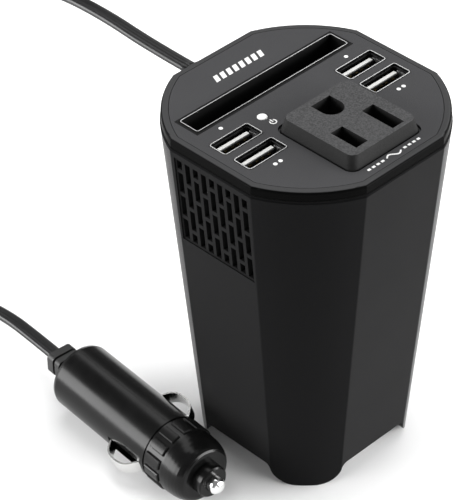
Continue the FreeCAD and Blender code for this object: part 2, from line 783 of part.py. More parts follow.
def placed(shape):
    """Roll, turn and move a plug part to where the plug lies."""
    shape = shape.copy()
    shape.rotate(V(0, 0, 0), V(0, 1, 0), -PLUG_ROLL)
    shape.rotate(V(0, 0, 0), V(0, 0, 1), PLUG_YAW)
    shape.translate(PLUG_REAR)
    return shape


def along(distance):
    return V(0, -distance, 0)


def turned(profile):
    """Solid of revolution about the plug's axis from (distance along it, radius) points."""
    outline = [V(radius, -distance, 0) for distance, radius in profile]
    face = Part.Face(Part.makePolygon(outline + outline[:1]))
    return face.revolve(V(0, 0, 0), V(0, 1, 0), 360)


def contact_window(start, end, width):
    return box(5.0, 12.0, -end, -start, -width / 2, width / 2)


def plug_barrel():
    front = BARREL_LENGTH
    shape = turned([(0, 0), (0, BARREL_RADIUS - 1.4), (0.45, BARREL_RADIUS - 0.4),
                    (1.5, BARREL_RADIUS), (front, BARREL_RADIUS), (front, BARREL_BORE),
                    (2.2, BARREL_BORE), (2.2, 0)])
    windows = [contact_window(*WINDOW, 5.4)]
    windows.append(mirrored_x(windows[0]))
    cord_way = rod(3.5, along(-1), along(3))
    return placed(shape.cut(windows + [cord_way]))


def plug_strain_relief():
    """Ribbed block behind the barrel, held by a flange inside it."""
    width, height = RELIEF_BLOCK
    core = rounded_block(width, height, 1.6, 0, RELIEF_LENGTH)
    depth = 0.6
    for start in (3.2, 6.0):
        groove = block(2 * width, 2 * height, start, start + 0.9).cut(
            rounded_block(width - 2 * depth, height - 2 * depth, 1.2, 0, RELIEF_LENGTH))
        core = core.cut(groove)
    core.rotate(V(0, 0, 0), V(1, 0, 0), -90)
    neck = rod(3.4, along(-0.5), along(2.6))
    flange = rod(5.0, along(2.25), along(3.6))
    relief = joined([core, neck, flange])
    relief.rotate(V(0, 0, 0), V(0, 1, 0), PLUG_ROLL)
    return placed(relief)


def plug_side_contact(side):
    """Bowed spring strip: both ends are inside the barrel, the hump stands out of the window."""
    start, end = WINDOW
    bow = [V(6.4, -start - 0.7, 0), V(9.6, -start - 1.0, 0), V(12.9, -start - 3.4, 0),
           V(13.6, -start - 7.0, 0), V(12.9, -end + 3.8, 0), V(9.8, -end + 1.3, 0),
           V(8.5, -end + 0.9, 0)]
    path, _ = cord_path(bow)
    thickness, width = 0.5, 4.4
    section = Part.makePolygon([
        bow[0] + V(0, dy, dz) for dy, dz in (
            (-thickness / 2, -width / 2), (thickness / 2, -width / 2),
            (thickness / 2, width / 2), (-thickness / 2, width / 2), (-thickness / 2, -width / 2))])
    strip = path.makePipeShell([section], True, True)
    return placed(strip if side > 0 else mirrored_x(strip))


def plug_side_contact_right():
    return plug_side_contact(1)


def plug_side_contact_left():
    return plug_side_contact(-1)


def plug_locking_ring():
    """Collar with raised grip blocks round it; it clamps the nose to the barrel."""
    start, end = BARREL_LENGTH + 0.15, RING_END
    collar = pipe(BARREL_RADIUS - 0.3, 8.35, along(start), along(end))
    grip = box(0, BARREL_RADIUS + 0.35, -end + 0.8, -start - 0.8, -1.45, 1.45)
    grip = grip.common(pipe(BARREL_RADIUS + 0.3, 8.5, along(start), along(end)))
    outside = lambda e: all(math.hypot(v.X, v.Z) > BARREL_RADIUS for v in e.Vertexes)
    grip = grip.makeChamfer(0.25, [e for e in grip.Edges if outside(e)])
    grips = []
    for step in range(GRIPS):
        copy = grip.copy()
        copy.rotate(V(0, 0, 0), V(0, 1, 0), 360.0 * (step + 0.5) / GRIPS)
        grips.append(copy)
    return placed(joined([collar] + grips))


def plug_nose_cone():
    """Domed nose with a collar that goes into the ring and barrel, and a short snout."""
    collar_start = BARREL_LENGTH - 0.6
    dome = RING_END + 0.15
    bore, tip_bore = 3.6, 2.6
    profile = [(collar_start, bore), (collar_start, 8.0), (dome, 8.0), (dome, BARREL_RADIUS - 0.1)]
    steps = 8
    for step in range(1, steps + 1):
        angle = 0.5 * math.pi * step / steps
        profile.append((dome + (DOME_END - dome) * math.sin(angle) ** 0.9,
                        6.9 + (BARREL_RADIUS - 7.0) * math.cos(angle) ** 0.8))
    profile += [(DOME_END, 4.85), (SNOUT_END - 0.4, 4.85), (SNOUT_END, 4.45),
                (SNOUT_END, tip_bore), (SNOUT_END - 2.2, tip_bore), (SNOUT_END - 2.2, bore)]
    return placed(turned(profile))


def plug_tip_pin():
    """Sprung centre contact: a flange behind the snout's lip and a rounded tip."""
    back = SNOUT_END - 4.6
    radius = 2.5
    profile = [(back, 0), (back, 3.3), (SNOUT_END - 2.3, 3.3), (SNOUT_END - 2.3, radius),
               (TIP_END - 1.4, radius), (TIP_END - 0.6, radius * 0.82), (TIP_END - 0.15, radius * 0.5),
               (TIP_END, 0)]
    return placed(turned(profile))


def fuse_span():
    rear = SNOUT_END - 4.62 - 30.0
    return rear, rear + 30.0


def plug_fuse_tube():
    """Glass body between the fuse's two caps."""
    rear, front = fuse_span()
    return placed(pipe(3.0, 2.5, along(rear + 5.52), along(front - 5.52)))


def plug_fuse_caps():
    rear, front = fuse_span()
    caps = [rod(3.2, along(rear), along(rear + 5.5)), rod(3.2, along(front - 5.5), along(front))]
    return group([placed(cap) for cap in caps])


def plug_fuse_wire():
    rear, front = fuse_span()
    return placed(rod(0.25, along(rear + 5.52), along(front - 5.52)))


def plug_contact_spring():
    """Coil behind the fuse."""
    rear, _ = fuse_span()
    length, coil_radius, wire_radius = 9.0, 2.4, 0.35
    helix = Part.makeHelix(1.8, length, coil_radius)
    section = Part.Wire([Part.makeCircle(wire_radius, V(coil_radius, 0, 0), V(0, 1, 0))])
    spring = Part.Wire(helix.Edges).makePipeShell([section], True, True)
    spring.rotate(V(0, 0, 0), V(1, 0, 0), 90)
    spring.translate(along(rear - length - wire_radius - 0.05))
    return placed(spring)


def plug_rear_terminal():
    """Brass disc with a guide stem; the spring's rear end faces it."""
    rear, _ = fuse_span()
    disc_front = rear - 13.2
    disc = rod(BARREL_BORE - 0.1, along(disc_front - 1.0), along(disc_front))
    stem = rod(1.3, along(disc_front - 0.2), along(disc_front + 6.0))
    return placed(joined([disc, stem]))


# ---- export ----

def usb_nodes():
    nodes = {"usb_contact_pins": usb_contact_pins}
    for name, (x, y) in usb_places().items():
        nodes[f"usb_shell_{name}"] = lambda x=x, y=y: usb_shell(x, y)
        nodes[f"usb_insert_{name}"] = lambda x=x, y=y: usb_insert(x, y)
    return nodes


PARTS = [
    outer_shell, top_cap, face_plate, phone_slot_liner, base_plate, base_screws,
    fan_frame, fan_bearing, fan_shaft, fan_rotor, fan_screws,
    ac_outlet_housing, ac_outlet_back, hot_contact, neutral_contact, ground_contact,
    led_lens, port_board, port_board_screws, main_board, board_connector,
    transformer_core, transformer_winding, transformer_bobbin, bulk_capacitor, input_capacitors,
    filter_choke, control_chips, heat_sink, power_transistors, input_wires, outlet_wires,
    cord_strain_relief, power_cord,
    plug_barrel, plug_strain_relief, plug_side_contact_right, plug_side_contact_left,
    plug_locking_ring, plug_nose_cone, plug_tip_pin, plug_fuse_tube, plug_fuse_caps,
    plug_fuse_wire, plug_contact_spring, plug_rear_terminal,
]

makers = {maker.__name__: maker for maker in PARTS}
makers.update(usb_nodes())
for name, maker in makers.items():
    shape = maker()
    if not shape.isValid():
        print("invalid:", name)
    shape.exportStep(f"parts/{name}.step")
print(len(makers), "parts")
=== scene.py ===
import json
import math

import bmesh
import bpy
from mathutils import Matrix, Vector


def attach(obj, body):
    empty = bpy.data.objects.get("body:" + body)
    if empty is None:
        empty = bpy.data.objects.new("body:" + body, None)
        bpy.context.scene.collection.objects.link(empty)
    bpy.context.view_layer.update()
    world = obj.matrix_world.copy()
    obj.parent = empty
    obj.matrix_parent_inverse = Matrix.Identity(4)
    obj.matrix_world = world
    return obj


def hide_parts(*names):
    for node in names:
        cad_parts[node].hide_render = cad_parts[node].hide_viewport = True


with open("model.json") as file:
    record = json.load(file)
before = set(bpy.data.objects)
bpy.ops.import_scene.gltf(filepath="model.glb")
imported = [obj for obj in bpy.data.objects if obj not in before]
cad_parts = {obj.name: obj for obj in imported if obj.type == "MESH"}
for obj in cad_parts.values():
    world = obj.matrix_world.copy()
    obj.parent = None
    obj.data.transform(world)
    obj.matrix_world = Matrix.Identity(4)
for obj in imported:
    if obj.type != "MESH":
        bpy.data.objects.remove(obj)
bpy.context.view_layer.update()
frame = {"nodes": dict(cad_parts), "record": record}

# Looks of a cup-holder power inverter. Metres, +Z up, feet on z = 0, outlet side towards -Y.

MM = 0.001
scene = bpy.context.scene
nodes = frame["nodes"]


# ---- camera ----

CAMERA_PLACE = Vector((-0.4040, -0.3865, 0.5080))
CAMERA_AZIMUTH = math.radians(-44.07)
CAMERA_ELEVATION = math.radians(38.62)
CAMERA_ROLL = math.radians(-1.03)
SENSOR_WIDTH = 36            # millimetres
LENS = 206.8                 # millimetres


def add_camera():
    """A long lens that looks down at the part, a little rolled."""
    level_right = Vector((math.cos(CAMERA_AZIMUTH), math.sin(CAMERA_AZIMUTH), 0))
    level_forward = Vector((-math.sin(CAMERA_AZIMUTH), math.cos(CAMERA_AZIMUTH), 0))
    forward = level_forward * math.cos(CAMERA_ELEVATION) - Vector((0, 0, math.sin(CAMERA_ELEVATION)))
    level_up = level_right.cross(forward)
    right = level_right * math.cos(CAMERA_ROLL) + level_up * math.sin(CAMERA_ROLL)
    up = right.cross(forward)
    turn = Matrix((right, up, -forward)).transposed().to_4x4()
    data = bpy.data.cameras.new("camera")
    data.sensor_width = SENSOR_WIDTH
    data.sensor_fit = "HORIZONTAL"
    data.lens = LENS
    camera = bpy.data.objects.new("camera", data)
    scene.collection.objects.link(camera)
    camera.matrix_world = Matrix.Translation(CAMERA_PLACE) @ turn
    scene.camera = camera


# ---- meshes ----

def mesh_piece(name, bm, material, smooth=True):
    """Make an object of the bmesh that rides on the housing."""
    bmesh.ops.recalc_face_normals(bm, faces=bm.faces)
    mesh = bpy.data.meshes.new(name)
    bm.to_mesh(mesh)
    bm.free()
    for face in mesh.polygons:
        face.use_smooth = smooth
    mesh.materials.append(material)
    piece = bpy.data.objects.new(name, mesh)
    scene.collection.objects.link(piece)
    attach(piece, "housing")
    return piece


def skin_rings(bm, rings):
    """Join closed rings of points into a tube with closed ends."""
    loops = [[bm.verts.new(point) for point in ring] for ring in rings]
    for near, far in zip(loops, loops[1:]):
        for i in range(len(near)):
            j = (i + 1) % len(near)
            bm.faces.new((near[i], near[j], far[j], far[i]))
    bm.faces.new(reversed(loops[0]))
    bm.faces.new(loops[-1])


# ---- materials ----

def new_material(name, color, roughness, metallic=0.0, specular=0.5, coat=0.0):
    material = bpy.data.materials.new(name)
    material.use_nodes = True
    shader = material.node_tree.nodes["Principled BSDF"]
    shader.inputs["Base Color"].default_value = (*color, 1)
    shader.inputs["Roughness"].default_value = roughness
    shader.inputs["Metallic"].default_value = metallic
    shader.inputs["Specular IOR Level"].default_value = specular
    shader.inputs["Coat Weight"].default_value = coat
    shader.inputs["Coat Roughness"].default_value = 0.08
    return material, material.node_tree, shader


def noise(tree, scale, detail=3.0, stretch=(1, 1, 1)):
    """Noise in the object's own coordinates.

    scale is features per metre, and stretch multiplies it along each axis.
    """
    place = tree.nodes.new("ShaderNodeTexCoord")
    mapping = tree.nodes.new("ShaderNodeMapping")
    mapping.inputs["Scale"].default_value = stretch
    texture = tree.nodes.new("ShaderNodeTexNoise")
    texture.inputs["Scale"].default_value = scale
    texture.inputs["Detail"].default_value = detail
    tree.links.new(place.outputs["Object"], mapping.inputs["Vector"])
    tree.links.new(mapping.outputs["Vector"], texture.inputs["Vector"])
    return texture.outputs["Fac"]


def spread(tree, value, low, high, band=(0.35, 0.65)):
    """Map a noise value to a range."""
    node = tree.nodes.new("ShaderNodeMapRange")
    node.inputs["From Min"].default_value = band[0]
    node.inputs["From Max"].default_value = band[1]
    node.inputs["To Min"].default_value = low
    node.inputs["To Max"].default_value = high
    tree.links.new(value, node.inputs["Value"])
    return node.outputs["Result"]


def facing_shade_mask(tree):
    """0 on faces that look sideways and 1 on faces that look up; it masks the painted shade on the sideways
    faces.
    """
    place = tree.nodes.new("ShaderNodeTexCoord")
    split = tree.nodes.new("ShaderNodeSeparateXYZ")
    tree.links.new(place.outputs["Normal"], split.inputs["Vector"])
    return spread(tree, split.outputs["Z"], 0, 1, (0.8, 0.97))


def tint(tree, value, dark, light):
    """Blend two colours by a value; each is three numbers or another node's output."""
    mix = tree.nodes.new("ShaderNodeMix")
    mix.data_type = "RGBA"
    for name, color in (("A", dark), ("B", light)):
        if isinstance(color, bpy.types.NodeSocket):
            tree.links.new(color, mix.inputs[name])
        else:
            mix.inputs[name].default_value = (*color, 1)
    tree.links.new(value, mix.inputs["Factor"])
    return mix.outputs["Result"]


def bumped(tree, shader, height, distance):
    bump = tree.nodes.new("ShaderNodeBump")
    bump.inputs["Strength"].default_value = 1.0
    bump.inputs["Distance"].default_value = distance
    tree.links.new(height, bump.inputs["Height"])
    tree.links.new(bump.outputs["Normal"], shader.inputs["Normal"])


def moulded(name, color, roughness, grain, depth, specular=0.5, speckle=0.0, sides=None, sheen=0.0):
    """Moulded plastic or rubber: a fine grain, slightly uneven gloss, and light specks.

    grain is features per metre, depth the grain's height in metres, and speckle how much lighter
    the specks are. The faces that look sideways can be given a darker colour: painted shade on the sides.
    """
    material, tree, shader = new_material(name, color, roughness, specular=specular)
    shader.inputs["Sheen Weight"].default_value = sheen
    shader.inputs["Sheen Roughness"].default_value = 0.3
    fine = noise(tree, grain)
    cloudy = noise(tree, 60.0)
    tree.links.new(spread(tree, cloudy, roughness * 0.9, roughness * 1.1), shader.inputs["Roughness"])
    light = [min(1.0, c * (1 + speckle) + 0.01 * speckle) for c in color]
    dark = [c * (1 - 0.25 * min(1.0, speckle)) for c in color]
    shade = tint(tree, spread(tree, fine, 0, 1), dark, light)
    # faces that look sideways take the darker sides colour: painted shade
    if sides:
        shade = tint(tree, facing_shade_mask(tree), sides, shade)
    tree.links.new(shade, shader.inputs["Base Color"])
    bumped(tree, shader, fine, depth)
    return material


def metal(name, color, roughness, stretch=(1, 1, 1)):
    """Plated or brushed metal; its grain is finer along an axis whose stretch is above 1."""
    material, tree, shader = new_material(name, color, roughness, metallic=1.0)
    lines = noise(tree, 900.0, detail=4.0, stretch=stretch)
    tree.links.new(spread(tree, lines, roughness * 0.75, roughness * 1.3), shader.inputs["Roughness"])
    stained = [c * 0.86 for c in color]
    tree.links.new(tint(tree, noise(tree, 180.0), stained, color), shader.inputs["Base Color"])
    bumped(tree, shader, lines, 0.00001)
    return material


def circuit_board(name):
    """Green solder mask over darker tracks, seen as blocky bands."""
    material, tree, shader = new_material(name, (0.03, 0.16, 0.06), 0.3, coat=0.3)
    place = tree.nodes.new("ShaderNodeTexCoord")
    cells = tree.nodes.new("ShaderNodeTexVoronoi")
    cells.distance = "CHEBYCHEV"
    cells.inputs["Scale"].default_value = 260.0
    tree.links.new(place.outputs["Object"], cells.inputs["Vector"])
    tracks = spread(tree, cells.outputs["Distance"], 0, 1, (0.45, 0.5))
    tree.links.new(tint(tree, tracks, (0.02, 0.12, 0.045), (0.05, 0.24, 0.09)),
                   shader.inputs["Base Color"])
    bumped(tree, shader, tracks, 0.00003)
    return material


def wound(name, dark, light, pitch):
    """Enamelled wire or tape wound side by side, as bands along Z that are pitch metres apart."""
    material, tree, shader = new_material(name, light, 0.3, coat=0.4)
    place = tree.nodes.new("ShaderNodeTexCoord")
    bands = tree.nodes.new("ShaderNodeTexWave")
    bands.bands_direction = "Z"
    bands.inputs["Scale"].default_value = math.pi / (10 * pitch)
    bands.inputs["Distortion"].default_value = 0.4
    tree.links.new(place.outputs["Object"], bands.inputs["Vector"])
    tree.links.new(tint(tree, bands.outputs["Fac"], dark, light), shader.inputs["Base Color"])
    bumped(tree, shader, bands.outputs["Fac"], 0.00015)
    return material


def clear_glass(name):
    """Slightly smeared glass."""
    material, tree, shader = new_material(name, (0.9, 0.95, 0.95), 0.05)
    shader.inputs["Transmission Weight"].default_value = 0.9
    smear = noise(tree, 120.0)
    tree.links.new(spread(tree, smear, 0.03, 0.1), shader.inputs["Roughness"])
    return material


# colours for the faces that look sideways: painted shade on the sides
DARK_PAINTED_SHADE = (0.002, 0.002, 0.002)
GREY_PAINTED_SHADE = (0.012, 0.012, 0.012)

# moulded(name, colour, roughness, grain, depth, specular, speckle, painted shade of the sides)
BLACK = {
    "shell": moulded("shell_black", (0.003, 0.003, 0.0032), 0.42, 5200.0, 0.00002, 0.01, 0.15,
                     sheen=0.42),
    # bezel and fan rotor: grey tops and near-black sides, the sides from painted shade
    "bezel": moulded("bezel_black", (0.05, 0.05, 0.051), 0.34, 4200.0, 0.00001, 0.012, 0.1, DARK_PAINTED_SHADE),
    "face": moulded("face_black", (0.044, 0.044, 0.046), 0.6, 4200.0, 0.00004, 0.12, 0.25),
    "liner": moulded("liner_black", (0.006, 0.006, 0.006), 0.45, 4200.0, 0.00001, 0.1, 0.1),
    # outlet pad: grey top and darker grey sides, the sides from painted shade
    "outlet": moulded("outlet_black", (0.049, 0.049, 0.05), 0.6, 2200.0, 0.00007, 0.08, 0.5, GREY_PAINTED_SHADE),
    "base": moulded("base_black", (0.02, 0.02, 0.02), 0.5, 3000.0, 0.00004, 0.4, 0.2),
    "rubber": moulded("relief_rubber", (0.015, 0.015, 0.015), 0.5, 2600.0, 0.00003, 0.3, 0.2),
    "cord": moulded("cord_rubber", (0.008, 0.008, 0.0085), 0.34, 1800.0, 0.00002, 0.3, 0.2),
    "gloss": moulded("plug_gloss", (0.003, 0.003, 0.003), 0.22, 500.0, 0.000004, 0.17, 0.1),
    "ring": moulded("ring_gloss", (0.005, 0.005, 0.005), 0.22, 600.0, 0.000004, 0.22, 0.1),
}
MATERIALS = {
    "shell_black": BLACK["shell"],
    "bezel_black": BLACK["bezel"],
    "face_black": BLACK["face"],
    "liner_black": BLACK["liner"],
    "base_black": BLACK["base"],
    "outlet_black": BLACK["outlet"],
    "outlet_back_black": BLACK["base"],
    "fan_black": BLACK["base"],
    "rotor_black": BLACK["bezel"],
    "chip_black": BLACK["base"],
    "bobbin_black": BLACK["base"],
    "relief_rubber": BLACK["rubber"],
    "cord_rubber": BLACK["cord"],
    "plug_gloss": BLACK["gloss"],
    "ring_gloss": BLACK["ring"],
    "screw_steel": metal("screw_steel", (0.55, 0.55, 0.57), 0.3),
    "shaft_steel": metal("shaft_steel", (0.62, 0.62, 0.64), 0.2, (1, 1, 12)),
    "spring_steel": metal("spring_steel", (0.6, 0.6, 0.6), 0.25),
    # near-black steel for the ports' shells: painted shade inside the ports
    "usb_steel": metal("usb_steel", (0.035, 0.035, 0.036), 0.3, (1, 1, 10)),
    "contact_nickel": metal("contact_nickel", (0.88, 0.88, 0.87), 0.16, (1, 8, 1)),
    "contact_brass": metal("contact_brass", (0.8, 0.62, 0.32), 0.25),
    "contact_gold": metal("contact_gold", (0.9, 0.68, 0.3), 0.2),
    "bearing_brass": metal("bearing_brass", (0.62, 0.46, 0.2), 0.4),
    "heat_sink_aluminium": metal("heat_sink_aluminium", (0.7, 0.71, 0.73), 0.35, (1, 1, 0.05)),
    "usb_black": moulded("usb_black", (0.012, 0.012, 0.012), 0.4, 2000.0, 0.00001, 0.3, 0.1),
    "led_white": moulded("led_white", (0.86, 0.86, 0.85), 0.3, 1500.0, 0.00001, 0.5, 0.03),
    "connector_white": moulded("connector_white", (0.75, 0.73, 0.66), 0.45, 1500.0, 0.00002, 0.5, 0.05),
    "board_green": circuit_board("board_green"),
    "ferrite": moulded("ferrite", (0.05, 0.05, 0.055), 0.6, 1500.0, 0.00008, 0.4, 0.3),
    "winding_tape": wound("winding_tape", (0.5, 0.36, 0.04), (0.85, 0.7, 0.15), 0.004),
    "capacitor_sleeve": moulded("capacitor_sleeve", (0.012, 0.02, 0.09), 0.25, 900.0, 0.00002, 0.5, 0.15),
    "choke_green": wound("choke_green", (0.2, 0.05, 0.01), (0.6, 0.22, 0.06), 0.0012),
    "wire_red": moulded("wire_red", (0.4, 0.015, 0.012), 0.35, 1200.0, 0.00002, 0.5, 0.1),
    "wire_white": moulded("wire_white", (0.7, 0.7, 0.68), 0.35, 1200.0, 0.00002, 0.5, 0.05),
    "fuse_glass": clear_glass("fuse_glass"),
}
INK = moulded("white_ink", (0.82, 0.82, 0.81), 0.5, 3000.0, 0.000005, 0.4, 0.05)
# light grey beads on the openings' lips: painted highlights on their edges
PAINTED_HIGHLIGHT_RIM = moulded("painted_highlight_rim", (0.42, 0.42, 0.42), 0.3, 3000.0, 0.000005, 0.5, 0.05)
# white strips on the black tongues' tops: painted highlights
TONGUE_HIGHLIGHT = moulded("tongue_painted_highlight", (0.82, 0.82, 0.8), 0.35, 2000.0, 0.00001, 0.5, 0.05)
SPRING = metal("port_spring", (0.85, 0.85, 0.86), 0.3)


def dress_frame():
    """Give every CAD node the material of its slot in the record."""
    for part in frame["record"]["subparts"]:
        mesh = nodes[part["node"]].data
        mesh.materials.clear()
        mesh.materials.append(MATERIALS[part["material_slot"]])


# ---- the lead: a flat twin cord, in millimetres ----

PLUG_REAR = Vector((-40.8, 51.0, 10.4))
PLUG_YAW = math.radians(-4.5)
LEAD_EXIT = Vector((0.0, 43.0, 100.6))
LEAD_WIDTH = 4.4
LEAD_LOBE = LEAD_WIDTH / 4   # radius of one of its two cores
RELIEF_LENGTH = 9.5
LOOP_CENTRE = Vector((-33.5, 150.0, 2.2))
LOOP_RADIUS = 25.0
LOOP_GROWTH = 4.7            # what every turn adds to the radius
LOOP_TURN = 12               # steps in one turn
LOOP_STEPS = 17
LANDING_STEPS = 3
LANDING_DROP = 0.9           # from step to step, until the lead lies on the ground


def behind_plug(distance):
    """A point on the plug's axis, behind the barrel."""
    return PLUG_REAR + Vector((-math.sin(PLUG_YAW), math.cos(PLUG_YAW), 0)) * distance


def loop_points():
    """The spare loop: a slowly widening circle on the ground, entered on its far side."""
    points = []
    for step in range(LOOP_STEPS + 1):
        angle = math.radians(90 + 360 * step / LOOP_TURN)
        radius = LOOP_RADIUS + LOOP_GROWTH * step / LOOP_TURN
        lift = LANDING_DROP * max(0, LANDING_STEPS - step)
        points.append(LOOP_CENTRE + Vector((radius * math.cos(angle), radius * math.sin(angle), lift)))
    return points


LEAD_ROUTE = [
    LEAD_EXIT,
    Vector((0.0, 60.0, LEAD_EXIT.z)),
    Vector((1.5, 80.0, LEAD_EXIT.z)),
    Vector((2.6, 101.0, 98.6)),
    Vector((2.8, 121.0, 92.8)),
    Vector((2.0, 138.0, 82.2)),
    Vector((0.2, 151.5, 67.2)),
    Vector((-2.6, 161.5, 49.7)),
    Vector((-6.8, 168.5, 32.6)),
    Vector((-13.2, 172.5, 18.2)),
    Vector((-22.5, 174.8, 9.0)),
    *loop_points(),
    Vector((-41.3, 112.4, 3.5)),
    Vector((-37.0, 99.1, 7.0)),
    Vector((-38.2, 84.0, 10.1)),
    behind_plug(RELIEF_LENGTH + 11.0),
    behind_plug(RELIEF_LENGTH),
]


def settled(point):
    """A route point in metres. The flat lead is half as thick as its round CAD tube, so it lies
    lower near the ground.
    """
    fading_height = 8
    on_ground = max(0.0, 1 - (point.z - LEAD_WIDTH / 2) / fading_height)
    return (point - Vector((0, 0, LEAD_LOBE * min(1.0, on_ground)))) * MM


def lead_line():
    """Points along the smooth line through the lead's route."""
    curve = bpy.data.curves.new("lead_line", "CURVE")
    curve.dimensions = "3D"
    curve.resolution_u = 10
    spline = curve.splines.new("NURBS")
    spline.points.add(len(LEAD_ROUTE) - 1)
    for control, point in zip(spline.points, LEAD_ROUTE):
        control.co = (*settled(point), 1)
    spline.order_u = 3
    spline.use_endpoint_u = True
    guide = bpy.data.objects.new("lead_line", curve)
    mesh = bpy.data.meshes.new_from_object(guide)
    points = [vertex.co.copy() for vertex in mesh.vertices]
    bpy.data.objects.remove(guide)
    bpy.data.meshes.remove(mesh)
    return points


def twin_section(lobe, sides=12):
    """Outline of two round cores side by side, as (across, up) pairs, with a groove between."""
    groove_angle = 140           # degrees from a core's outer side round to the groove
    outline = []
    for side in (1, -1):
        for step in range(sides + 1):
            angle = math.radians(-groove_angle + 2 * groove_angle * step / sides)
            across = side * (lobe + lobe * math.cos(angle))
            outline.append((across, side * lobe * math.sin(angle)))
    return outline


def make_lead():
    """Skin the twin outline along the lead's line, and hide the round CAD cord."""
    line = lead_line()
    bm = bmesh.new()
    rings = []
    section = twin_section(LEAD_LOBE * MM)
    for index, point in enumerate(line):
        ahead = line[min(index + 1, len(line) - 1)]
        behind = line[max(index - 1, 0)]
        tangent = (ahead - behind).normalized()
        across = tangent.cross(Vector((0, 0, 1))).normalized()
        up = across.cross(tangent).normalized()
        rings.append([point + across * a + up * u for a, u in section])
    skin_rings(bm, rings)
    lead = mesh_piece("twin_lead", bm, BLACK["cord"])
    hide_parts("power_cord")


# ---- small visible details on the face plate, in millimetres ----

FACE_Z = 110.0
PRINT_THICKNESS = 0.04
DOT_RADIUS = 0.6
DOT_PITCH = 1.9
PORT_DOTS = [(1, -23.0, 8.6), (1, 23.6, 7.8), (2, -23.2, -12.4), (2, 23.2, -12.6)]  # count, x, y
POWER_MARK = (-11.4, 0.9)
OUTLET_MARK = (0.0, -31.2)
BARS_PLACE = (0.3, 25.4)
BAR_COUNT = 8
BAR_PITCH = 2.35
BAR_HEIGHT = 2.6
PHONE_SLOT_Y = 15.0
# the beads on the phone slot's and the ports' lips are light grey: painted highlights
PHONE_SLOT_RIM = (56.85, 6.65)
SLOT_BEAD_RADIUS = 0.1
SLOT_BEAD_LIFT = 0.22        # from the face to the bead's middle
PORT_PLACES = [(x, y) for x in (-23.5, 23.5) for y in (2.4, -6.5)]
PORT_RIM = (13.75, 5.95)
PORT_BEAD_RADIUS = 0.11
PORT_BEAD_LIFT = 0.08
PORT_END_WALL = 6.15         # from a port's middle to the inside of its shell
PORT_FRONT_WALL = 2.45
# the tongue caps are painted highlights on the tongues' tops
TONGUE_CAP = (10.9, 1.1)
TONGUE_CAP_OVERLAP = 0.05    # how far it reaches down into the tongue
TONGUE_CAP_HEIGHT = 0.3
TONGUE_OFFSET = 1.2
TONGUE_TOP = FACE_Z - 1.6
SPRING_BOTTOM = FACE_Z - 3.1
SPRING_TOP = FACE_Z - 1.0
END_SPRING = (0.3, 2.6)
END_SPRING_OFFSET = 0.2
FRONT_SPRING = (2.4, 0.24)
FRONT_SPRING_OFFSET = 2.9    # two springs, to either side of the port's middle


def prism(bm, outline, low, high):
    """Add an upright prism over a closed outline of (x, y) points."""
    floor = [bm.verts.new(Vector((x, y, low)) * MM) for x, y in outline]
    roof = [bm.verts.new(Vector((x, y, high)) * MM) for x, y in outline]
    bm.faces.new(floor)
    bm.faces.new(roof)
    for i in range(len(outline)):
        j = (i + 1) % len(outline)
        bm.faces.new((floor[i], floor[j], roof[j], roof[i]))


def stroke(points, width):
    """Closed outline of a line of (x, y) points drawn with a pen of some width."""
    left, right = [], []
    for i, (x, y) in enumerate(points):
        x0, y0 = points[max(i - 1, 0)]
        x1, y1 = points[min(i + 1, len(points) - 1)]
        reach = width / 2 / math.hypot(x1 - x0, y1 - y0)
        left.append((x - (y1 - y0) * reach, y + (x1 - x0) * reach))
        right.append((x + (y1 - y0) * reach, y - (x1 - x0) * reach))
    return left + right[::-1]


def arc(x, y, radius, start, end, steps=24):
    """Points on a circle from one angle to another, in degrees."""
    angles = [math.radians(start + (end - start) * step / steps) for step in range(steps + 1)]
    return [(x + radius * math.cos(a), y + radius * math.sin(a)) for a in angles]


def dots(count, x, y):
    """A row of dots, one for each ampere that the port beside them gives."""
    first = x - DOT_PITCH * (count - 1) / 2
    return [arc(first + DOT_PITCH * i, y, DOT_RADIUS, 0, 345, 23) for i in range(count)]


def power_symbol(x, y):
    """A ring that is open at the top, with an upright bar in the gap."""
    pen = 0.34
    ring = stroke(arc(x, y, 0.9, 130, 410), pen)
    bar = stroke([(x, y), (x, y + 1.25)], pen)
    return [ring, bar]


def outlet_symbol(x, y):
    """One sine wave between two rows of short bars."""
    steps = 32
    wave_length = 5.2
    wave_height = 0.7
    first_bar = 4.2
    bar_pitch = 1.7
    half_bar = 0.5
    wave = [(x + wave_length * (step / steps - 0.5), y + wave_height * math.sin(2 * math.pi * step / steps))
            for step in range(steps + 1)]
    bars = []
    for side in (-1, 1):
        for index in range(4):
            middle = x + side * (first_bar + bar_pitch * index)
            bars.append(stroke([(middle - half_bar, y), (middle + half_bar, y)], 0.7))
    return [stroke(wave, 0.45)] + bars


def slanted_bars(x, y, count, pitch, height):
    """A plain row of slanted bars round a middle point."""
    lean = 0.4 * height
    bars = []
    for index in range(count):
        left = x + pitch * (index - count / 2)
        width = 0.62 * pitch
        bars.append([(left, y - height / 2), (left + width, y - height / 2),
                     (left + width + lean, y + height / 2), (left + lean, y + height / 2)])
    return bars


def make_marks():
    """White print: dots by the ports, a power and an outlet pictograph, and a row of bars."""
    outlines = []
    for count, x, y in PORT_DOTS:
        outlines += dots(count, x, y)
    outlines += power_symbol(*POWER_MARK)
    outlines += outlet_symbol(*OUTLET_MARK)
    outlines += slanted_bars(*BARS_PLACE, BAR_COUNT, BAR_PITCH, BAR_HEIGHT)
    bm = bmesh.new()
    for outline in outlines:
        prism(bm, outline, FACE_Z - PRINT_THICKNESS, FACE_Z + PRINT_THICKNESS)
    mesh_piece("face_marks", bm, INK, smooth=False)


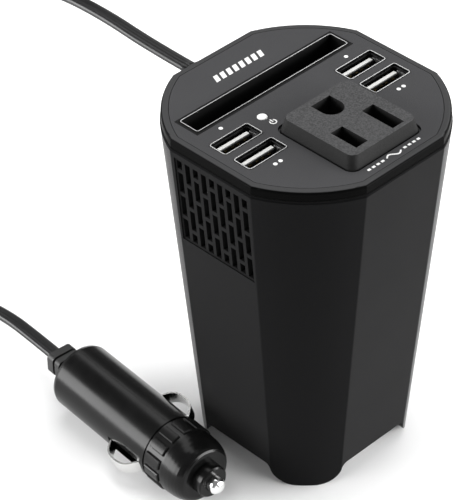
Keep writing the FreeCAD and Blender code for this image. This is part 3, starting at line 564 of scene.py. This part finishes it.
def rounded_rectangle(width, depth, corner, steps=6):
    """(x, y, outward x, outward y) round a centred rectangle with rounded corners."""
    points = []
    for quarter, (side_x, side_y) in enumerate(((1, 1), (-1, 1), (-1, -1), (1, -1))):
        for step in range(steps + 1):
            angle = math.radians(90 * (quarter + step / steps))
            out_x, out_y = math.cos(angle), math.sin(angle)
            points.append((side_x * (width / 2 - corner) + corner * out_x,
                           side_y * (depth / 2 - corner) + corner * out_y, out_x, out_y))
    return points


def bead(bm, centre, path, radius, sides=8):
    """A thin round bead along a closed path."""
    loops = []
    for x, y, out_x, out_y in path:
        ring = []
        for side in range(sides):
            angle = 2 * math.pi * side / sides
            out, up = radius * math.cos(angle), radius * math.sin(angle)
            ring.append(bm.verts.new((centre + Vector((x + out_x * out, y + out_y * out, up))) * MM))
        loops.append(ring)
    for near, far in zip(loops, loops[1:] + loops[:1]):
        for i in range(sides):
            j = (i + 1) % sides
            bm.faces.new((near[i], near[j], far[j], far[i]))


def make_highlight_rims():
    """Raised beads round the phone slot and the charging ports, in light grey: painted highlights on the
    openings' lips.
    """
    bm = bmesh.new()
    centre = Vector((0, PHONE_SLOT_Y, FACE_Z + SLOT_BEAD_LIFT))
    bead(bm, centre, rounded_rectangle(*PHONE_SLOT_RIM, corner=0.6), SLOT_BEAD_RADIUS)
    mesh_piece("phone_slot_highlight_rim", bm, PAINTED_HIGHLIGHT_RIM)
    bm = bmesh.new()
    for x, y in PORT_PLACES:
        centre = Vector((x, y, FACE_Z + PORT_BEAD_LIFT))
        bead(bm, centre, rounded_rectangle(*PORT_RIM, corner=0.75), PORT_BEAD_RADIUS)
    mesh_piece("port_highlight_rims", bm, PAINTED_HIGHLIGHT_RIM)


def rectangle(x, y, width, depth):
    """Corners of a rectangle round a middle point."""
    return [(x - width / 2, y - depth / 2), (x + width / 2, y - depth / 2),
            (x + width / 2, y + depth / 2), (x - width / 2, y + depth / 2)]


def make_port_details():
    """White caps on the ports' black tongues, as painted highlights on the tongues' tops, and the shells'
    retaining springs.
    """
    bm = bmesh.new()
    for x, y in PORT_PLACES:
        cap = rectangle(x, y + TONGUE_OFFSET, *TONGUE_CAP)
        prism(bm, cap, TONGUE_TOP - TONGUE_CAP_OVERLAP, TONGUE_TOP + TONGUE_CAP_HEIGHT)
    mesh_piece("port_tongue_highlight_caps", bm, TONGUE_HIGHLIGHT, smooth=False)
    bm = bmesh.new()
    for x, y in PORT_PLACES:
        end_x = x + PORT_END_WALL - END_SPRING[0] / 2
        prism(bm, rectangle(end_x, y - END_SPRING_OFFSET, *END_SPRING), SPRING_BOTTOM, SPRING_TOP)
        for side in (-1, 1):
            front_x = x + side * FRONT_SPRING_OFFSET
            front_y = y - PORT_FRONT_WALL + FRONT_SPRING[1] / 2
            prism(bm, rectangle(front_x, front_y, *FRONT_SPRING), SPRING_BOTTOM, SPRING_TOP)
    mesh_piece("port_springs", bm, SPRING, smooth=False)


# ---- floor and light ----

FLOOR_REACH = 30.0           # from the middle to each side


def add_floor():
    """A wide matt white ground."""
    material = bpy.data.materials.new("floor_white")
    material.use_nodes = True
    shader = material.node_tree.nodes["Principled BSDF"]
    shader.inputs["Base Color"].default_value = (0.9, 0.9, 0.9, 1)
    shader.inputs["Roughness"].default_value = 0.9
    bm = bmesh.new()
    bmesh.ops.create_grid(bm, x_segments=1, y_segments=1, size=FLOOR_REACH)
    mesh = bpy.data.meshes.new("floor")
    bm.to_mesh(mesh)
    bm.free()
    mesh.materials.append(material)
    floor = bpy.data.objects.new("floor", mesh)
    scene.collection.objects.link(floor)


WORLD_LIGHT = 0.25
OVERHEAD_PLACE = (0.35, 0.25, 1.1)
OVERHEAD_TARGET = (0, 0, 0.05)
OVERHEAD_SIZE = (1.1, 1.1)
OVERHEAD_WATTS = 10.5
LEFT_PLACE = (-0.78, 0.66, 0.26)
LEFT_WATTS = 27.0
RIGHT_PLACE = (0.66, -0.78, 0.26)
RIGHT_WATTS = 32.0
SIDE_TARGET = (0, 0, 0.06)
SIDE_SIZE = (1.4, 0.5)


def soft_light(name, place, target, size, power):
    """A rectangular lamp that faces its target."""
    data = bpy.data.lights.new(name, "AREA")
    data.shape = "RECTANGLE"
    data.size, data.size_y = size
    data.energy = power
    light = bpy.data.objects.new(name, data)
    scene.collection.objects.link(light)
    light.location = place
    light.rotation_euler = (Vector(target) - Vector(place)).to_track_quat("-Z", "Y").to_euler()


def add_light():
    """An even white world, a lamp overhead, and a wide low lamp to the left and right of the part."""
    world = bpy.data.worlds.new("studio")
    scene.world = world
    world.use_nodes = True
    world.node_tree.nodes["Background"].inputs["Color"].default_value = (1, 1, 1, 1)
    world.node_tree.nodes["Background"].inputs["Strength"].default_value = WORLD_LIGHT
    scene.view_settings.view_transform = "Standard"
    soft_light("overhead", OVERHEAD_PLACE, OVERHEAD_TARGET, OVERHEAD_SIZE, OVERHEAD_WATTS)
    soft_light("left", LEFT_PLACE, SIDE_TARGET, SIDE_SIZE, LEFT_WATTS)
    soft_light("right", RIGHT_PLACE, SIDE_TARGET, SIDE_SIZE, RIGHT_WATTS)


add_camera()
make_lead()
make_marks()
make_highlight_rims()
make_port_details()
dress_frame()
add_floor()
add_light()
